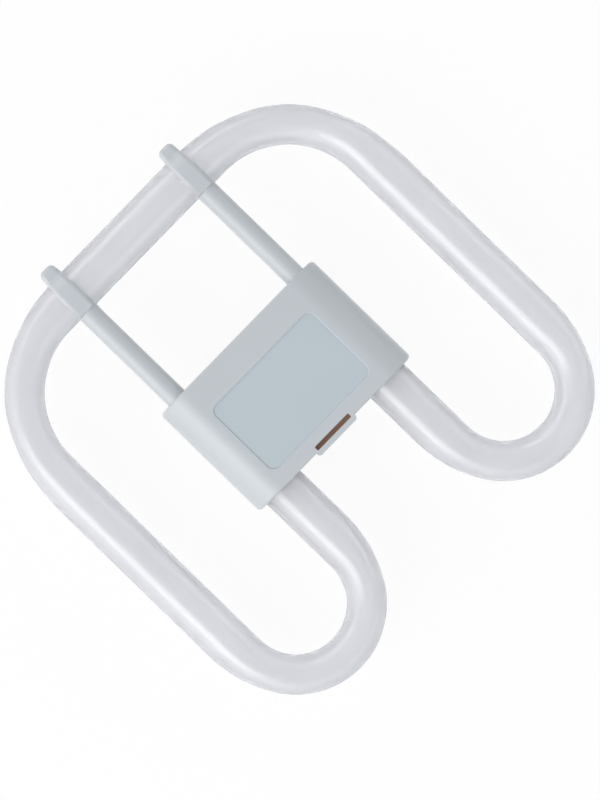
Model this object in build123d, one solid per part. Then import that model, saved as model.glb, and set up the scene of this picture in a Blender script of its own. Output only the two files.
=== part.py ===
from build123d import *
import math
import os

# Square double-D lamp with a bent opal tube, a plug-in base in its middle and two clip legs.
# All sizes are in millimetres. X runs across the lamp, Y from the open side towards the back tube
# and Z from the flat back of the base towards the lit front. The origin is the middle of that back.

# Tube
tube_diameter = 19.5
outer_arm_spacing = 183.5        # between the centre lines of the two outer arms
inner_arm_spacing = 61.0         # between the centre lines of the two arms that enter the base
loop_centre_y = -65.3            # centres of the two end loops
back_tube_y = 88.9               # centre line of the back tube
corner_radius = 45.9             # centre line of the two back corners
bend_flattening = 2.9            # how far the outer side of a bend is drawn in
flattening_lead = 9.0            # straight length before a bend where the flattening begins
flattening_turn = 24.0           # degrees of a bend after which the flattening is complete
entry_steps = 6                  # sections along the stretch where the flattening grows
tube_insertion = 14.0            # length of each tube end inside the base

# Base
shoulder_cover = 4.15            # from the tube to the outside of the base's rounded shoulders
base_length = 56.6
axis_height = 19.6               # tube's centre line above the back of the base
wall = 2.0
end_round = 0.9                  # rounding of the edges round both end faces
back_round = 6.0                 # rounding of the long edges round the flat back
tube_clearance = 0.15
saddle_inset = 11.0              # from the end face to the ribs that hold the tube ends
rib = 1.6
rim_height = 1.6                 # tongue of the front cover inside the back cover
rim_width = 0.9
rim_clearance = 0.1

# Bare panel sunk in the front
panel_width = 57.4
panel_length = 35.9
panel_centre_y = -3.1
panel_corner = 3.5
panel_depth = 0.4

# Plug-in socket in the open side
mouth_width = 25.0
mouth_floor_drop = 7.1           # floor of the socket below the tube's centre line
socket_depth = 19.7              # from the end face to the plate that carries the pins
tongue_thickness = 2.4
plate_thickness = 3.0
insert_clearance = 0.1
lip_width = 22.4
lip_reach = 1.9
lip_corner = 1.6
latch_length = 19.4
latch_width = 2.0
latch_corner = 0.5
latch_inset = 1.4                # from the end face to the middle of the latch slot

# Contact pins
pin_diameter = 2.4
pin_length = 11.0                # free length in front of the plate
pin_tip = 0.4                    # bevel round the free end
pin_shank = 1.6                  # square shank through the plate
pin_pitch_x = 10.0
pin_pitch_z = 6.0
pin_height = 2.4                 # middle of the four pins above the tube's centre line

# Legs and tube clips
leg_spacing = 69.4
leg_width = 9.2
leg_height = 8.0
leg_wall = 1.8
clip_thickness = 2.5
clip_clearance = 0.1
clip_wrap = 30.0                 # degrees below the tube's centre line that the clip reaches
clip_land = 0.4                  # straight side left under the rounded rim of a clip's front
tab_reach = 5.15                 # thumb tab past the outer side of the back tube
tab_height = 8.0                 # top of the thumb tab above the tube's centre line
tab_thickness = 2.4
tab_taper = 1.0                  # how far each side of the tab draws in towards its end
tab_root_round = 1.8

# Driver board
board_width = 68.0
board_height = 27.5
board_thickness = 1.6
board_gap = 1.6                  # between the pin plate and the board
board_corner = 2.0
groove_height = 8.0
groove_depth = 3.0               # how far the board's ends sit between their ribs
groove_clearance = 0.1
lead_diameter = 1.6

# Places worked out from the sizes above
tube_radius = tube_diameter / 2
arm_x = inner_arm_spacing / 2
outer_x = outer_arm_spacing / 2
loop_x = (arm_x + outer_x) / 2
loop_radius = (outer_x - arm_x) / 2
corner_x = outer_x - corner_radius
corner_y = back_tube_y - corner_radius
shoulder_radius = tube_radius + shoulder_cover
base_width = inner_arm_spacing + 2 * shoulder_radius
front_z = axis_height + shoulder_radius
roof_z = front_z - wall
open_y = -base_length / 2
closed_y = base_length / 2
tube_end_y = open_y + tube_insertion
plate_y = open_y + socket_depth
board_y = plate_y + plate_thickness + board_gap
board_face_y = board_y + board_thickness
board_x = board_width / 2
mouth_x = mouth_width / 2
socket_floor_z = axis_height - mouth_floor_drop
tongue_z = socket_floor_z - tongue_thickness
leg_x = leg_spacing / 2
clip_inner = tube_radius + clip_clearance
clip_outer = clip_inner + clip_thickness
clip_round = min(clip_thickness, tab_thickness) - clip_land
leg_top = axis_height + clip_outer
tab_end = tube_radius + tab_reach
tab_end_width = leg_width - 2 * tab_taper
tab_corner = clip_round + clip_land
pin_places = [
    (x * pin_pitch_x / 2, axis_height + pin_height + z * pin_pitch_z / 2)
    for z in (1, -1)
    for x in (-1, 1)
]
touch = 1e-4                     # distance below which two places count as one


def block(x, y, z):
    """Rectangular block between a low and a high value on each axis."""
    size = Box(x[1] - x[0], y[1] - y[0], z[1] - z[0])
    return Pos((x[0] + x[1]) / 2, (y[0] + y[1]) / 2, (z[0] + z[1]) / 2) * size


def rod(radius, x, z, y):
    """Round rod along Y from the first to the second y."""
    end = Plane((x, y[0], z), x_dir=(1, 0, 0), z_dir=(0, 1, 0))
    return extrude(end * Circle(radius), amount=y[1] - y[0])


def both_sides(shape):
    """A shape and its mirror image on the other side of the lamp."""
    return shape + mirror(shape, Plane.YZ)


# Tube

def tube_section(place, flattening):
    """Tube's section: a round inner half and an outer half drawn in by the flattening."""
    inner = EllipticalCenterArc((0, 0), tube_radius, tube_radius, 90, arc_size=180)
    outer = EllipticalCenterArc((0, 0), tube_radius - flattening, tube_radius, -90, arc_size=180)
    return place * make_face([inner, outer])


def tube_run(start, end):
    """Straight stretch of round tube between two points of the centre line."""
    direction = Vector(*end) - Vector(*start)
    place = Plane((*start, axis_height), x_dir=direction.cross(Vector(0, 0, 1)), z_dir=direction)
    return extrude(tube_section(place, 0), amount=direction.length)


def bend_place(centre, radius, start, travel):
    """Section plane after some travel past a bend's start; travel below 0 is on the straight lead."""
    angle = math.radians(start) + max(travel, 0) / radius
    outward = Vector(math.cos(angle), math.sin(angle))
    along = Vector(-math.sin(angle), math.cos(angle))
    point = Vector(*centre, axis_height) + outward * radius + along * min(travel, 0)
    return Plane(point, x_dir=outward, z_dir=along)


def bend_entry(centre, radius, start):
    """Stretch over which a bend's outer side is drawn in, from round tube to settled bend."""
    length = flattening_lead + radius * math.radians(flattening_turn)
    sections = []
    for step in range(entry_steps + 1):
        travel = length * step / entry_steps - flattening_lead
        share = min(max((step - 1) / (entry_steps - 2), 0), 1)
        drawn_in = bend_flattening * share**2 * (3 - 2 * share)
        sections.append(tube_section(bend_place(centre, radius, start, travel), drawn_in))
    return loft(sections)


def tube_bend(centre, radius, start, turn):
    """Bend with its outer side drawn in; the far end is the mirror image of the near one."""
    settled = bend_place(centre, radius, start, radius * math.radians(flattening_turn))
    section = tube_section(settled, bend_flattening)
    arc = revolve(section, Axis((*centre, 0), (0, 0, 1)), turn - 2 * flattening_turn)
    entry = bend_entry(centre, radius, start)
    middle = math.radians(start + turn / 2)
    fold = Plane((*centre, 0), z_dir=(-math.sin(middle), math.cos(middle), 0))
    return entry + arc + mirror(entry, fold)


def make_tube():
    """Sealed opal tube, from one end in the base round both loops to the other."""
    lead = flattening_lead
    half = tube_run((arm_x, tube_end_y), (arm_x, loop_centre_y + lead))
    half += tube_bend((loop_x, loop_centre_y), loop_radius, 180, 180)
    half += tube_run((outer_x, loop_centre_y + lead), (outer_x, corner_y - lead))
    half += tube_bend((corner_x, corner_y), corner_radius, 0, 90)
    half += tube_run((corner_x - lead, back_tube_y), (0, back_tube_y))
    return both_sides(half)


# Covers of the base

def front_form(inset, length):
    """Front half of the base: flat in the middle, with shoulders round the tube's two ends."""
    radius = shoulder_radius - inset
    outline = [
        Line((-arm_x - radius, 0), (arm_x + radius, 0)),
        CenterArc((arm_x, 0), radius, 0, 90),
        Line((arm_x, radius), (-arm_x, radius)),
        CenterArc((-arm_x, 0), radius, 90, 90),
    ]
    section = Pos(0, 0, axis_height) * (Plane.XZ * make_face(outline))
    return extrude(section, amount=length / 2, both=True)


def round_ends(cover):
    """A cover's form with the edges round its two end faces rounded, up to the parting plane."""
    rims = []
    for edge in cover.edges():
        middle = edge @ 0.5
        at_end = abs(abs(middle.Y) - closed_y) < touch
        if at_end and abs(middle.Z - axis_height) > touch:
            rims.append(edge)
    return fillet(rims, end_round)


def tube_ways():
    """Round ways that the tube's two ends take through the end wall and the ribs."""
    way = rod(tube_radius + tube_clearance, arm_x, axis_height, (open_y - wall, tube_end_y + wall))
    return both_sides(way)


def saddle_ribs(z):
    """Cross ribs that hold the tube's ends, before the tube is cut out of them."""
    y = open_y + saddle_inset
    side = block((arm_x - tube_radius - rib, arm_x + shoulder_radius), (y, y + rib), z)
    return both_sides(side)


def socket_cheeks(start_y, z):
    """Walls on both sides of the socket, from near the end wall to the back of the pin plate."""
    side = block((mouth_x, mouth_x + rib), (start_y, plate_y + plate_thickness), z)
    return both_sides(side)


def socket_mouth(z):
    """Opening in the end wall that the lamp holder enters."""
    return block((-mouth_x, mouth_x), (open_y - wall, open_y + wall), z)


def make_leg():
    """Hollow leg with a round top, from the base's closed end to the back tube."""
    def section(inset):
        width = leg_width - 2 * inset
        crown = Pos(0, leg_top - leg_width / 2) * Circle(width / 2)
        depth = leg_height - leg_width / 2
        sides = Pos(0, leg_top - leg_width / 2 - depth / 2) * Rectangle(width, depth)
        below = Pos(0, leg_top - leg_height - leg_width / 2) * Rectangle(leg_width, leg_width)
        return Plane.XZ * (crown + sides - below)

    reach = back_tube_y - tube_radius
    outside = Pos(leg_x, reach, 0) * extrude(section(0), amount=reach - closed_y + wall)
    core_end = back_tube_y - clip_outer - leg_wall
    core = Pos(leg_x, core_end, 0) * extrude(section(leg_wall), amount=core_end - closed_y)
    return outside - core


def make_clip():
    """Snap clip over the back tube: flat up to the crown, then round the tube to a thumb tab."""
    wedge = math.radians(clip_wrap)
    away = 3 * clip_outer
    gap = Polygon(
        (0, 0),
        (-away * math.cos(wedge), -away * math.sin(wedge)),
        (0, -2 * away),
        (away * math.cos(wedge), -away * math.sin(wedge)),
        align=None,
    )
    flat = Pos(-tube_radius / 2, clip_outer / 2) * Rectangle(tube_radius, clip_outer)
    tab = Pos(tab_end / 2, tab_height - tab_thickness / 2) * Rectangle(tab_end, tab_thickness)
    section = Circle(clip_outer) + flat + tab - Circle(clip_inner) - gap
    root = [corner for corner in section.vertices() if at_tab_root(corner)]
    section = fillet(root, tab_root_round)
    side = Plane((leg_x, back_tube_y, axis_height), x_dir=(0, 1, 0), z_dir=(1, 0, 0))
    clip = extrude(side * section, amount=leg_width / 2, both=True)
    plan = make_face(
        Polyline(
            (-leg_width / 2, -clip_outer),
            (leg_width / 2, -clip_outer),
            (leg_width / 2, 0),
            (tab_end_width / 2, tab_end),
            (-tab_end_width / 2, tab_end),
            (-leg_width / 2, 0),
            close=True,
        )
    )
    plan = fillet(plan.vertices().group_by(Axis.Y)[-1], tab_corner)
    clip &= extrude(Pos(leg_x, back_tube_y, axis_height) * plan, amount=clip_outer, both=True)
    return fillet([edge for edge in clip.edges() if on_clip_rim(edge)], clip_round)


def at_tab_root(corner):
    """Whether a corner of the clip's section lies where the tab's top meets the round strap."""
    on_strap = abs(math.hypot(corner.X, corner.Y) - clip_outer) < touch
    return on_strap and corner.X > 0 and abs(corner.Y - tab_height) < touch


def on_clip_rim(edge):
    """Whether an edge follows the rim of the clip's front, from its flat to the tab's end."""
    middle = edge @ 0.5
    y = middle.Y - back_tube_y
    z = middle.Z - axis_height
    in_front = math.hypot(y, z) > clip_outer - touch and z > tab_height - touch
    along_side = abs(middle.X - leg_x) > tab_end_width / 4 and y > touch - tube_radius
    return in_front and (along_side or y > tab_end - touch)


def make_front_cover():
    """Front of the base, moulded in one with its legs and clips."""
    cover = round_ends(front_form(0, base_length))
    lip = Pos(0, open_y) * Rectangle(lip_width, 2 * lip_reach)
    lip = fillet(lip.vertices().group_by(Axis.Y)[0], lip_corner)
    lip = extrude(Pos(0, 0, roof_z) * lip, amount=wall)
    cover += lip

    inside = front_form(wall, base_length - 2 * wall)
    rim_inset = 2 * (wall - rim_width)
    rim = Rectangle(base_width - rim_inset, base_length - rim_inset)
    rim -= Rectangle(base_width - 2 * wall, base_length - 2 * wall)
    rim = extrude(Pos(0, 0, axis_height) * rim, amount=-rim_height)
    height = (axis_height, roof_z)
    ribs = inside & saddle_ribs(height)
    cheeks = socket_cheeks(open_y + wall, height)
    cheeks += socket_cheeks(open_y + wall + insert_clearance, (socket_floor_z, axis_height))
    cover = cover - inside + rim + ribs + cheeks - tube_ways()
    cover -= socket_mouth((socket_floor_z, roof_z))

    panel = RectangleRounded(panel_width, panel_length, panel_corner)
    cover -= extrude(Pos(0, panel_centre_y, front_z) * panel, amount=-panel_depth)
    latch = RectangleRounded(latch_length, latch_width, latch_corner)
    cover -= extrude(Pos(0, open_y + latch_inset, front_z) * latch, amount=-2 * wall)
    return cover + both_sides(make_leg() + make_clip())


def back_form(inset, length):
    """Back half of the base: a flat back with rounded long edges and upright sides."""
    width = base_width - 2 * inset
    section = Pos(0, (axis_height + inset) / 2) * Rectangle(width, axis_height - inset)
    section = fillet(section.vertices().group_by(Axis.Y)[0], back_round - inset)
    return extrude(Plane.XZ * section, amount=length / 2, both=True)


def make_back_cover():
    """Tray that closes the base from behind; the lamp lies on its flat back."""
    form = round_ends(back_form(0, base_length))
    hollow = back_form(wall, base_length - 2 * wall)
    ribs = saddle_ribs((wall, axis_height)) + board_grooves()
    ribs += socket_cheeks(open_y + wall, (wall, tongue_z))
    cover = form - hollow + (hollow & ribs)
    rebate_inset = 2 * (wall - rim_width - rim_clearance)
    rebate = Rectangle(base_width - rebate_inset, base_length - rebate_inset)
    rebate = extrude(Pos(0, 0, axis_height) * rebate, amount=-rim_height - rim_clearance)
    cover = cover - rebate - tube_ways()
    return cover - socket_mouth((tongue_z, axis_height))


def board_grooves():
    """Pairs of ribs that the driver board's ends stand between."""
    x = (board_x - groove_depth, board_x)
    z = (wall, wall + groove_height)
    ahead = board_y - groove_clearance
    behind = board_face_y + groove_clearance
    pair = block(x, (ahead - rib, ahead), z) + block(x, (behind, behind + rib), z)
    return both_sides(pair)


# Socket

def make_socket_insert():
    """Brown moulding with the socket's floor and the plate that carries the four pins."""
    half = mouth_x - insert_clearance
    tongue = block((-half, half), (open_y, plate_y), (tongue_z, socket_floor_z))
    wings = block(
        (-mouth_x - rib, mouth_x + rib),
        (open_y + wall + insert_clearance, plate_y + plate_thickness),
        (tongue_z, socket_floor_z),
    )
    plate = block(
        (-half, half),
        (plate_y, plate_y + plate_thickness),
        (socket_floor_z, roof_z - insert_clearance),
    )
    insert = tongue + wings + plate
    for x, z in pin_places:
        insert -= shank(x, z)
    return insert


def shank(x, z):
    """Square shank of a pin, from the front of the plate to the board."""
    half = pin_shank / 2
    return block((x - half, x + half), (plate_y, board_y), (z - half, z + half))


def make_contact_pin(x, z):
    """Round brass pin with its shank pressed through the plate and soldered to the board."""
    pin = rod(pin_diameter / 2, x, z, (plate_y - pin_length, plate_y))
    pin = chamfer(pin.faces().sort_by(Axis.Y)[0].edges(), pin_tip)
    return pin + shank(x, z)


# Driver

def make_driver_board():
    """Upright circuit board behind the pins, standing on the back cover."""
    outline = Pos(0, wall + board_height / 2) * Rectangle(board_width, board_height)
    outline = chamfer(outline.vertices().group_by(Axis.Y)[-1], board_corner)
    return extrude(Plane.XZ.offset(-board_y) * outline, amount=-board_thickness)


def on_board(x, up):
    """Place on the board's component side, up from the board's foot, facing away from the board."""
    return Plane((x, board_face_y, wall + up), x_dir=(1, 0, 0), z_dir=(0, 1, 0))


def make_can(x, up, diameter, length):
    """Electrolytic capacitor: a can with a bevelled top."""
    can = extrude(on_board(x, up) * Circle(diameter / 2), amount=length)
    return chamfer(can.faces().sort_by(Axis.Y)[-1].edges(), diameter / 12)


def make_fuse_resistor(x, up, diameter, length):
    """Fuse resistor: a round body that lies on the board."""
    left = Plane((x - length / 2, board_face_y + diameter / 2, wall + up), z_dir=(1, 0, 0))
    return extrude(left * Circle(diameter / 2), amount=length)


def make_block(x, up, width, depth, height, bevel):
    """Moulded block with bevelled edges round its top."""
    body = extrude(on_board(x, up) * Rectangle(width, depth), amount=height)
    return chamfer(body.faces().sort_by(Axis.Y)[-1].edges(), bevel)


def make_output_diode(x, up, width, depth, height, tab):
    """Flat output diode with a solder tab at each end."""
    body = make_block(x, up, width, depth, height, bevel=height / 5)
    for side in (-1, 1):
        end = on_board(x + side * (width + tab) / 2, up)
        body += extrude(end * Rectangle(tab, depth / 2), amount=height / 4)
    return body


def make_bridge_rectifier(x, up, width, depth, height):
    """Bridge rectifier: a flat block with one bevelled corner and four feet."""
    body = extrude(on_board(x, up) * Rectangle(width, depth), amount=height)
    body = chamfer(body.edges().filter_by(Axis.Y).sort_by(Axis.X)[0], depth / 5)
    foot = depth / 8
    for side_x in (-1, 1):
        for side_z in (-1, 1):
            place = on_board(x + side_x * width / 3, up + side_z * (depth + foot) / 2)
            body += extrude(place * Rectangle(foot, foot), amount=height / 2)
    return body


def make_varistor(x, up, diameter, thickness):
    """Surge varistor: a disc that stands on the board."""
    left = Plane((x - thickness / 2, board_face_y + diameter / 2, wall + up), z_dir=(1, 0, 0))
    return extrude(left * Circle(diameter / 2), amount=thickness)


def make_driver_chip(x, up, width, depth, height):
    """Driver chip with four legs on each long side."""
    body = make_block(x, up, width, depth, height, bevel=height / 8)
    pitch = width / 4
    leg = depth / 5
    for side in (-1, 1):
        for place in range(4):
            foot = on_board(x + (place - 1.5) * pitch, up + side * (depth + leg) / 2)
            body += extrude(foot * Rectangle(pitch / 3, leg), amount=height / 3)
    return body


def make_choke(x, up, width, depth, height):
    """Choke: a square ferrite core with its wider coil round the middle."""
    core = extrude(on_board(x, up) * Rectangle(width, depth), amount=height)
    middle = on_board(x, up).offset(height / 4)
    coil = extrude(middle * Rectangle(0.8 * width, 1.5 * depth), amount=height / 2)
    return core + chamfer(coil.edges().filter_by(Axis.Y), depth / 4)


def make_led_lead(side):
    """Insulated lead between a tube end and the board."""
    return rod(lead_diameter / 2, side * arm_x, axis_height, (tube_end_y, board_y))


parts = {
    "tube": make_tube(),
    "front_cover": make_front_cover(),
    "back_cover": make_back_cover(),
    "socket_insert": make_socket_insert(),
    "driver_board": make_driver_board(),
    "bulk_capacitor": make_can(10.0 - board_x, 19.0, diameter=10.0, length=18.0),
    "output_capacitor": make_can(board_x - 5.5, 18.0, diameter=8.0, length=12.0),
    "choke": make_choke(board_x - 17.0, 17.0, width=12.0, depth=7.0, height=12.0),
    "film_capacitor": make_block(10.0 - board_x, 6.0, width=11.0, depth=5.0, height=10.0, bevel=0.6),
    "bridge_rectifier": make_bridge_rectifier(23.0 - board_x, 7.0, width=8.4, depth=6.4, height=3.2),
    "fuse_resistor": make_fuse_resistor(1.0, 4.0, diameter=3.2, length=8.0),
    "output_diode": make_output_diode(board_x - 10.0, 5.0, width=4.4, depth=2.6, height=2.2, tab=0.6),
    "varistor": make_varistor(21.0 - board_x, 18.0, diameter=8.0, thickness=4.0),
    "driver_chip": make_driver_chip(board_x - 22.0, 5.0, width=5.0, depth=4.0, height=1.7),
    "led_lead_1": make_led_lead(-1),
    "led_lead_2": make_led_lead(1),
}
for number, (x, z) in enumerate(pin_places, start=1):
    parts[f"contact_pin_{number}"] = make_contact_pin(x, z)

os.makedirs("parts", exist_ok=True)
for name, shape in parts.items():
    export_step(shape, f"parts/{name}.step")
    print(name, round(shape.volume, 1))
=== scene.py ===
import math

import bmesh
import bpy
from mathutils import Matrix, Vector


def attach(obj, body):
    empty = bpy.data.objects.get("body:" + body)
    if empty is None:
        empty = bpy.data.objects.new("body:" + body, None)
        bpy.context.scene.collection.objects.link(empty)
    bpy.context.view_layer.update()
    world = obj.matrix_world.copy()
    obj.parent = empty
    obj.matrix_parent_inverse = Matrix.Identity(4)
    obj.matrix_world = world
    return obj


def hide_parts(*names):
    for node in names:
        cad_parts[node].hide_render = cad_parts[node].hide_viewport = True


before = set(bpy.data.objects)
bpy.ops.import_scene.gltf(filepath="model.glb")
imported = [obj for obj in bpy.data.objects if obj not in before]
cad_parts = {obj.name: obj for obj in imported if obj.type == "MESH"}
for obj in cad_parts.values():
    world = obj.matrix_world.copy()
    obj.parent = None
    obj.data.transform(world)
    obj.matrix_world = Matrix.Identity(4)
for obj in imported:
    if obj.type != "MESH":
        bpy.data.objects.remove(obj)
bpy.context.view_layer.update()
scene = bpy.context.scene
scene.view_settings.view_transform = "Standard"

# Tube
# Sealed tube of glossy opal plastic. It is bent hot, so each bend is drawn in on its outer side.
# Its two ends sit in the base, and the clips of the two legs hold its back.
tube_radius = 0.00975
axis_height = 0.0196
arm_x = 0.0305
outer_x = 0.09175
loop_centre_y = -0.0653
back_y = 0.0889
corner_radius = 0.0459
tube_end_y = -0.0143
loop_sweep = math.pi
corner_sweep = math.pi / 2
drawn_in = 0.00295
easing_before = math.radians(18)  # drawing in starts this far before a bend, at the bend's own radius
easing_into = math.radians(27)  # drawing in is complete this far into a bend
ring_points = 64
run_step = 0.002
bend_step = math.radians(3)
merge_distance = 1e-6
opal_deep = (0.712, 0.722, 0.750, 1)
opal_pale = (0.737, 0.747, 0.775, 1)
loop_x = (arm_x + outer_x) / 2
loop_radius = (outer_x - arm_x) / 2
corner_x = outer_x - corner_radius
corner_y = back_y - corner_radius


def run(mesh, ring, x, y):
    """Carry the tube's last ring straight on."""
    steps = math.ceil(math.hypot(x, y) / run_step)
    step = (x / steps, y / steps, 0)
    made = bmesh.ops.spin(mesh, geom=ring, axis=(0, 0, 1), dvec=step, angle=0, steps=steps)
    return made["geom_last"]


def bend(mesh, ring, x, y, sweep):
    """Carry the tube's last ring round an upright axis."""
    centre = (x, y, axis_height)
    steps = round(sweep / bend_step)
    made = bmesh.ops.spin(mesh, geom=ring, cent=centre, axis=(0, 0, 1), angle=sweep, steps=steps)
    return made["geom_last"]


def eased(share):
    """Share from 0 to 1 that starts and ends gently."""
    share = min(max(share, 0), 1)
    return share**2 * (3 - 2 * share)


def draw_in(vert, x, y, radius, sweep, facing):
    """Draw the tube in on the outer side of one bend, easing off past both ends of the bend."""
    spot = Vector((abs(vert.co.x) - x, facing * (vert.co.y - y)))
    angle = math.atan2(spot.y, spot.x)
    if spot.x < 0 and spot.y < 0:
        angle += math.tau
    angle = min(max(angle, 0), sweep)
    outward = Vector((math.cos(angle), math.sin(angle)))
    past_end = abs(spot.dot(Vector((-outward.y, outward.x))))
    travel = radius * min(angle, sweep - angle) - past_end
    depth = drawn_in * eased((travel / radius + easing_before) / (easing_before + easing_into))
    reach = max(spot.dot(outward) - radius, 0)
    shift = outward * reach * depth / tube_radius
    vert.co.x -= math.copysign(1, vert.co.x) * shift.x
    vert.co.y -= facing * shift.y


mesh = bmesh.new()
stand_up = Matrix.Rotation(math.radians(90), 4, "X")
end_place = Matrix.Translation((arm_x, tube_end_y, axis_height)) @ stand_up
bmesh.ops.create_circle(mesh, radius=tube_radius, segments=ring_points, matrix=end_place)
ring = mesh.verts[:] + mesh.edges[:]
ring = run(mesh, ring, 0, loop_centre_y - tube_end_y)
ring = bend(mesh, ring, loop_x, loop_centre_y, loop_sweep)
ring = run(mesh, ring, 0, corner_y - loop_centre_y)
ring = bend(mesh, ring, corner_x, corner_y, corner_sweep)
run(mesh, ring, -corner_x, 0)
half_tube = mesh.verts[:] + mesh.edges[:] + mesh.faces[:]
bmesh.ops.mirror(mesh, geom=half_tube, axis="X", merge_dist=merge_distance)
bmesh.ops.remove_doubles(mesh, verts=mesh.verts, dist=merge_distance)
open_ends = [edge for edge in mesh.edges if edge.is_boundary]
bmesh.ops.holes_fill(mesh, edges=open_ends, sides=ring_points)
bmesh.ops.recalc_face_normals(mesh, faces=mesh.faces)
for vert in mesh.verts:
    draw_in(vert, loop_x, loop_centre_y, loop_radius, loop_sweep, facing=-1)
    draw_in(vert, corner_x, corner_y, corner_radius, corner_sweep, facing=1)
for face in mesh.faces:
    closes_an_end = len(face.verts) == ring_points
    face.smooth = not closes_an_end
tube = bpy.data.objects.new("opal_tube", bpy.data.meshes.new("opal_tube"))
mesh.to_mesh(tube.data)
mesh.free()
scene.collection.objects.link(tube)

opal = bpy.data.materials.new("opal_tube")
opal.use_nodes = True
nodes = opal.node_tree.nodes
links = opal.node_tree.links
shader = nodes["Principled BSDF"]
shader.inputs["Roughness"].default_value = 0.9
shader.inputs["IOR"].default_value = 1.45
shader.inputs["Transmission Weight"].default_value = 0.68
shader.inputs["Coat Weight"].default_value = 0.45
shader.inputs["Coat Roughness"].default_value = 0.24
shader.inputs["Coat IOR"].default_value = 2.2
place = nodes.new("ShaderNodeTexCoord")
cloud = nodes.new("ShaderNodeTexNoise")
cloud.inputs["Scale"].default_value = 45
cloud.inputs["Detail"].default_value = 3
milk = nodes.new("ShaderNodeValToRGB")
milk.color_ramp.elements[0].position = 0.35
milk.color_ramp.elements[0].color = opal_deep
milk.color_ramp.elements[1].position = 0.65
milk.color_ramp.elements[1].color = opal_pale
ripple = nodes.new("ShaderNodeTexNoise")
ripple.inputs["Scale"].default_value = 160
ripple.inputs["Detail"].default_value = 2
bump = nodes.new("ShaderNodeBump")
bump.inputs["Strength"].default_value = 0.05
bump.inputs["Distance"].default_value = 0.0002
links.new(place.outputs["Object"], cloud.inputs["Vector"])
links.new(cloud.outputs["Fac"], milk.inputs["Fac"])
links.new(milk.outputs["Color"], shader.inputs["Base Color"])
links.new(place.outputs["Object"], ripple.inputs["Vector"])
links.new(ripple.outputs["Fac"], bump.inputs["Height"])
links.new(bump.outputs["Normal"], shader.inputs["Normal"])
tube.data.materials.append(opal)
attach(tube, "root")
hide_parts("tube")

# Front cover
# Satin cool-white plastic, moulded in one: the front of the base, its two legs, their clips and thumb tabs.
# A bare panel is sunk in it. It closes on the back cover at the height of the tube's centre line.
front_edge = 0.00024
panel_edge = 0.00036
panel_half_width = 0.0287
panel_low_y = -0.02105
panel_floor = 0.0331
base_end_y = 0.0283
shoulder_radius = 0.0139
end_round = 0.0009  # round of the edges at both ends of the base
corner_round = 0.0018  # wider round of its four upright corners
corner_fade = math.radians(45)  # turn of the long round beside a corner over which the wider round fades
leg_end_y = 0.07915
leg_end_band = 0.0005
touch = 1e-5  # closer than this, two places count as one
flat_turn = math.radians(0.3)  # faces that turn by less make one flat face
sharp_turn = math.radians(30)  # an edge that turns by more is rounded
crease_turn = math.radians(35)  # an edge that turns by more shows as a crease
level = 0.99  # a face whose normal rises by more counts as level
gloss_spread = 0.05


def welded_copy(node):
    """Copy of a CAD node as one welded mesh, with each flat face in one piece."""
    mesh = bmesh.new()
    mesh.from_mesh(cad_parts[node].data)
    bmesh.ops.remove_doubles(mesh, verts=mesh.verts, dist=merge_distance)
    bmesh.ops.dissolve_limit(mesh, angle_limit=flat_turn, verts=mesh.verts, edges=mesh.edges)
    return mesh


def widen_corner(vert, round_x, round_z, radius, facing):
    """Widen the round of an upright corner of the base, easing off along the long round beside it."""
    beyond_x = max(abs(vert.co.x) - round_x, 0)
    beyond_z = max(facing * (vert.co.z - round_z), 0)
    beyond = Vector((beyond_x, beyond_z))
    from_side = radius - beyond.length
    from_end = base_end_y - abs(vert.co.y)
    if not all(-touch < gap < end_round + touch for gap in (from_side, from_end)):
        return
    share = eased(1 - math.atan2(beyond_z, beyond_x) / corner_fade)
    widening = (corner_round / end_round - 1) * share
    shift = beyond.normalized() * from_side * widening
    vert.co.x -= math.copysign(1, vert.co.x) * shift.x
    vert.co.y -= math.copysign(1, vert.co.y) * from_end * widening
    vert.co.z -= facing * shift.y


def outward_edges(mesh):
    """Sharp edges that point outwards."""
    return [edge for edge in mesh.edges if edge.calc_face_angle_signed(0) > sharp_turn]


def round_edges(mesh, edges, radius):
    """Round some edges of a piece a little, as they are on the real one."""
    bmesh.ops.bevel(
        mesh,
        geom=edges,
        offset=radius,
        offset_type="OFFSET",
        segments=3,
        profile=0.5,
        affect="EDGES",
        material=-1,
    )


def finished_piece(mesh, name, node):
    """Piece in place of a CAD node, smooth over its rounds and flat on its flat faces."""
    bmesh.ops.dissolve_degenerate(mesh, dist=merge_distance, edges=mesh.edges)
    for face in mesh.faces:
        face.smooth = True
    piece = bpy.data.objects.new(name, bpy.data.meshes.new(name))
    mesh.to_mesh(piece.data)
    mesh.free()
    piece.data.set_sharp_from_angle(angle=crease_turn)
    scene.collection.objects.link(piece)
    normals = piece.modifiers.new("flat_faces", "WEIGHTED_NORMAL")
    normals.keep_sharp = True
    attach(piece, "root")
    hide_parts(node)
    return piece


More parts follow.
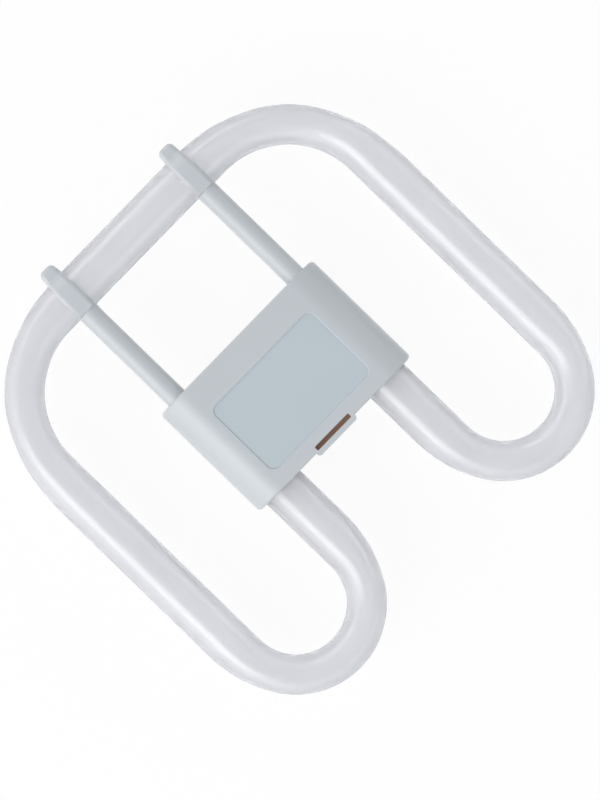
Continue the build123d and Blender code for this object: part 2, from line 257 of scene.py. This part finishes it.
def plastic(name, colour, shade, roughness, grain, depth):
    """Moulded plastic: a colour that drifts slightly to a shade, over a fine grain of some depth."""
    material = bpy.data.materials.new(name)
    material.use_nodes = True
    nodes = material.node_tree.nodes
    links = material.node_tree.links
    shader = nodes["Principled BSDF"]
    place = nodes.new("ShaderNodeTexCoord")
    drift = nodes.new("ShaderNodeTexNoise")
    drift.inputs["Scale"].default_value = 30
    drift.inputs["Detail"].default_value = 4
    ramp = nodes.new("ShaderNodeValToRGB")
    ramp.color_ramp.elements[0].position = 0.3
    ramp.color_ramp.elements[0].color = (*shade, 1)
    ramp.color_ramp.elements[1].position = 0.7
    ramp.color_ramp.elements[1].color = (*colour, 1)
    speckle = nodes.new("ShaderNodeTexNoise")
    speckle.inputs["Scale"].default_value = grain
    speckle.inputs["Detail"].default_value = 2
    gloss = nodes.new("ShaderNodeMapRange")
    gloss.inputs["To Min"].default_value = roughness - gloss_spread
    gloss.inputs["To Max"].default_value = roughness + gloss_spread
    bump = nodes.new("ShaderNodeBump")
    bump.inputs["Strength"].default_value = 0.15
    bump.inputs["Distance"].default_value = depth
    links.new(place.outputs["Object"], drift.inputs["Vector"])
    links.new(drift.outputs["Fac"], ramp.inputs["Fac"])
    links.new(ramp.outputs["Color"], shader.inputs["Base Color"])
    links.new(place.outputs["Object"], speckle.inputs["Vector"])
    links.new(speckle.outputs["Fac"], gloss.inputs["Value"])
    links.new(gloss.outputs["Result"], shader.inputs["Roughness"])
    links.new(speckle.outputs["Fac"], bump.inputs["Height"])
    links.new(bump.outputs["Normal"], shader.inputs["Normal"])
    return material


def on_panel_rim(edge):
    """Whether an edge runs round the panel that is sunk in the front."""
    above_floor = all(vert.co.z > panel_floor + touch for vert in edge.verts)
    inside_width = all(abs(vert.co.x) < panel_half_width + touch for vert in edge.verts)
    past_low_end = all(vert.co.y > panel_low_y - touch for vert in edge.verts)
    return above_floor and inside_width and past_low_end


def at_leg_end(edge):
    """Whether an edge lies where a leg's round top runs into its clip."""
    return all(abs(vert.co.y - leg_end_y) < 2 * touch for vert in edge.verts)


mesh = welded_copy("front_cover")
for vert in mesh.verts:
    widen_corner(vert, arm_x, axis_height, shoulder_radius, facing=1)
# Cuts near both ends of the legs keep the shading there from running along the legs.
for y in (base_end_y + leg_end_band, leg_end_y - leg_end_band):
    whole_cover = mesh.verts[:] + mesh.edges[:] + mesh.faces[:]
    bmesh.ops.bisect_plane(mesh, geom=whole_cover, plane_co=(0, y, 0), plane_no=(0, 1, 0))
panel_rim = [edge for edge in outward_edges(mesh) if on_panel_rim(edge)]
other_edges = [edge for edge in outward_edges(mesh) if not on_panel_rim(edge) and not at_leg_end(edge)]
round_edges(mesh, other_edges, front_edge)
round_edges(mesh, panel_rim, panel_edge)
front_cover = finished_piece(mesh, "front_moulding", "front_cover")
cool_white = plastic(
    "base_plastic",
    colour=(0.518, 0.552, 0.577),
    shade=(0.503, 0.536, 0.561),
    roughness=0.38,
    grain=1800,
    depth=0.00006,
)
panel_satin = plastic(
    "panel_satin",
    colour=(0.482, 0.545, 0.580),
    shade=(0.468, 0.530, 0.565),
    roughness=0.42,
    grain=1400,
    depth=0.00006,
)
front_cover.data.materials.append(cool_white)
front_cover.data.materials.append(panel_satin)
for face in front_cover.data.polygons:
    if face.normal.z > level and abs(face.center.z - panel_floor) < touch:
        face.material_index = 1

# Back cover
# Tray of the same plastic that closes the base from behind. The lamp lies on its flat back.
# A rim of the front cover sits in a step round its edge.
back_edge = 0.00024
back_round = 0.006
back_round_x = arm_x + shoulder_radius - back_round
mesh = welded_copy("back_cover")
for vert in mesh.verts:
    widen_corner(vert, back_round_x, back_round, back_round, facing=-1)
round_edges(mesh, outward_edges(mesh), back_edge)
back_cover = finished_piece(mesh, "back_moulding", "back_cover")
back_cover.data.materials.append(cool_white)

# Socket
# Brown plastic moulding held between the two covers, where the lamp holder plugs in.
# It makes the floor of the socket and the plate that carries the pins.
socket_edge = 0.0002
mesh = welded_copy("socket_insert")
round_edges(mesh, outward_edges(mesh), socket_edge)
socket = finished_piece(mesh, "socket_moulding", "socket_insert")
socket_brown = plastic(
    "socket_plastic",
    colour=(0.36, 0.20, 0.14),
    shade=(0.29, 0.16, 0.11),
    roughness=0.5,
    grain=1500,
    depth=0.0001,
)
socket.data.materials.append(socket_brown)

# Contact pins
# Four turned brass pins with bevelled tips.
# Their shanks are pressed through the plate of the socket and soldered to the board.
pin_count = 4
pin_edge = 0.00012
brass_dull = (0.50, 0.34, 0.13, 1)
brass_bright = (0.66, 0.48, 0.20, 1)
brass = bpy.data.materials.new("pin_brass")
brass.use_nodes = True
nodes = brass.node_tree.nodes
links = brass.node_tree.links
shader = nodes["Principled BSDF"]
shader.inputs["Metallic"].default_value = 1.0
place = nodes.new("ShaderNodeTexCoord")
turning = nodes.new("ShaderNodeTexNoise")
turning.inputs["Scale"].default_value = 900
tarnish = nodes.new("ShaderNodeValToRGB")
tarnish.color_ramp.elements[0].color = brass_dull
tarnish.color_ramp.elements[1].color = brass_bright
gloss = nodes.new("ShaderNodeMapRange")
gloss.inputs["To Min"].default_value = 0.2
gloss.inputs["To Max"].default_value = 0.34
links.new(place.outputs["Object"], turning.inputs["Vector"])
links.new(turning.outputs["Fac"], tarnish.inputs["Fac"])
links.new(tarnish.outputs["Color"], shader.inputs["Base Color"])
links.new(turning.outputs["Fac"], gloss.inputs["Value"])
links.new(gloss.outputs["Result"], shader.inputs["Roughness"])
for number in range(1, pin_count + 1):
    mesh = welded_copy(f"contact_pin_{number}")
    round_edges(mesh, outward_edges(mesh), pin_edge)
    pin = finished_piece(mesh, f"brass_pin_{number}", f"contact_pin_{number}")
    pin.data.materials.append(brass)

# Driver
# Circuit board, the parts that stand on it and the two leads to the tube's ends, inside the closed base.
# The board stands between ribs of the covers. Each piece keeps its CAD shape, with a colour and a roughness.
driver_finishes = {
    "driver_board": ((0.03, 0.13, 0.05), 0.45),
    "bulk_capacitor": ((0.012, 0.013, 0.02), 0.3),
    "output_capacitor": ((0.012, 0.013, 0.02), 0.3),
    "choke": ((0.035, 0.035, 0.038), 0.7),
    "film_capacitor": ((0.48, 0.21, 0.02), 0.3),
    "bridge_rectifier": ((0.008, 0.008, 0.009), 0.6),
    "fuse_resistor": ((0.26, 0.42, 0.34), 0.5),
    "output_diode": ((0.008, 0.008, 0.009), 0.6),
    "varistor": ((0.015, 0.065, 0.29), 0.25),
    "driver_chip": ((0.008, 0.008, 0.009), 0.6),
    "led_lead_1": ((0.5, 0.015, 0.012), 0.45),
    "led_lead_2": ((0.5, 0.015, 0.012), 0.45),
}
driver_shade = 0.85
for node, (colour, roughness) in driver_finishes.items():
    shade = tuple(driver_shade * value for value in colour)
    finish = plastic(node, colour, shade, roughness, grain=1500, depth=0.00005)
    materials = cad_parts[node].data.materials
    materials.clear()
    materials.append(finish)

# Camera
# It looks straight down on the lit front through a long lens, turned as in the photograph.
# The offsets place the middle of the base in the picture.
image_height = 800
sensor = 0.036
millimetres = 1000
distance = 1.5
pixels_per_metre = 2436.4
turn = math.radians(45.77)
offset_right = -0.00583
offset_up = 0.00581
camera_axes = Matrix.Rotation(-turn, 3, "Z")
camera_place = Vector((0, 0, axis_height)) - camera_axes @ Vector((offset_right, offset_up, -distance))
camera = bpy.data.objects.new("camera", bpy.data.cameras.new("camera"))
camera.matrix_world = Matrix.Translation(camera_place) @ camera_axes.to_4x4()
camera.data.sensor_width = sensor * millimetres
camera.data.lens = pixels_per_metre * distance * sensor * millimetres / image_height
scene.collection.objects.link(camera)
scene.camera = camera

# Floor
# Plain white floor that keeps the lamp's soft shadow.
# It shows white to the camera, in reflections and through the tube, and is a matt floor to all other light.
floor_size = 6
floor_white = 0.92
floor_glow = 0.92


def white_to_eye(tree, lit, glow):
    """Show a surface white to the camera, in reflections and through the tube, and as it is lit elsewhere."""
    nodes = tree.nodes
    path = nodes.new("ShaderNodeLightPath")
    seen = nodes.new("ShaderNodeMath")
    seen.operation = "ADD"
    through = nodes.new("ShaderNodeMath")
    through.operation = "ADD"
    share = nodes.new("ShaderNodeMath")
    share.operation = "MULTIPLY"
    share.use_clamp = True
    share.inputs[1].default_value = glow
    white = nodes.new("ShaderNodeEmission")
    white.inputs["Color"].default_value = (1, 1, 1, 1)
    blend = nodes.new("ShaderNodeMixShader")
    tree.links.new(path.outputs["Is Camera Ray"], seen.inputs[0])
    tree.links.new(path.outputs["Is Glossy Ray"], seen.inputs[1])
    tree.links.new(seen.outputs["Value"], through.inputs[0])
    tree.links.new(path.outputs["Is Transmission Ray"], through.inputs[1])
    tree.links.new(through.outputs["Value"], share.inputs[0])
    tree.links.new(share.outputs["Value"], blend.inputs["Fac"])
    tree.links.new(lit, blend.inputs[1])
    tree.links.new(white.outputs["Emission"], blend.inputs[2])
    return blend.outputs["Shader"]


mesh = bmesh.new()
bmesh.ops.create_grid(mesh, x_segments=1, y_segments=1, size=floor_size / 2)
floor = bpy.data.objects.new("floor", bpy.data.meshes.new("floor"))
mesh.to_mesh(floor.data)
mesh.free()
scene.collection.objects.link(floor)
paper = bpy.data.materials.new("floor")
paper.use_nodes = True
nodes = paper.node_tree.nodes
nodes.remove(nodes["Principled BSDF"])
matt = nodes.new("ShaderNodeBsdfDiffuse")
matt.inputs["Color"].default_value = (floor_white, floor_white, floor_white, 1)
seen_floor = white_to_eye(paper.node_tree, matt.outputs["BSDF"], floor_glow)
paper.node_tree.links.new(seen_floor, nodes["Material Output"].inputs["Surface"])
floor.data.materials.append(paper)

# Light
# An even white room, a softbox high on the lamp's left, a low fill on both sides and a strip at each end.
# A light has its side, its degrees from straight up, its size as seen from one metre, and its brightness.
room_light = 0.4
room_colour = (0.94, 1, 1.03, 1)
room_glow = 1
lights = {
    "left_softbox": ((-1, 0), 44, (0.6, 0.59), 3.3),
    "left_fill": ((-1, 0), 72, (2.0, 1.0), 1.15),
    "right_fill": ((1, 0), 74, (1.6, 0.6), 1.0),
    "open_end_strip": ((0, -1), 59, (1.2, 0.22), 2.0),
    "back_end_strip": ((0, 1), 67, (1.2, 0.35), 2.2),
}
light_distance = 2.0
light_colour = (1.03, 1, 1)
room = bpy.data.worlds.new("room")
room.use_nodes = True
nodes = room.node_tree.nodes
nodes["Background"].inputs["Color"].default_value = room_colour
nodes["Background"].inputs["Strength"].default_value = room_light
seen_room = white_to_eye(room.node_tree, nodes["Background"].outputs["Background"], room_glow)
room.node_tree.links.new(seen_room, nodes["World Output"].inputs["Surface"])
scene.world = room
for name, (side, from_upright, size, brightness) in lights.items():
    source = bpy.data.lights.new(name, "AREA")
    source.shape = "RECTANGLE"
    source.size, source.size_y = (light_distance * edge for edge in size)
    source.energy = brightness * math.pi * source.size * source.size_y
    source.color = light_colour
    slope = math.radians(from_upright)
    away = Vector((side[0] * math.sin(slope), side[1] * math.sin(slope), math.cos(slope)))
    across = Vector((0, 0, 1)).cross(away).normalized()
    upward = away.cross(across)
    axes = Matrix((across, upward, away)).transposed()
    light_place = away * light_distance + Vector((0, 0, axis_height))
    light = bpy.data.objects.new(name, source)
    light.matrix_world = Matrix.Translation(light_place) @ axes.to_4x4()
    scene.collection.objects.link(light)
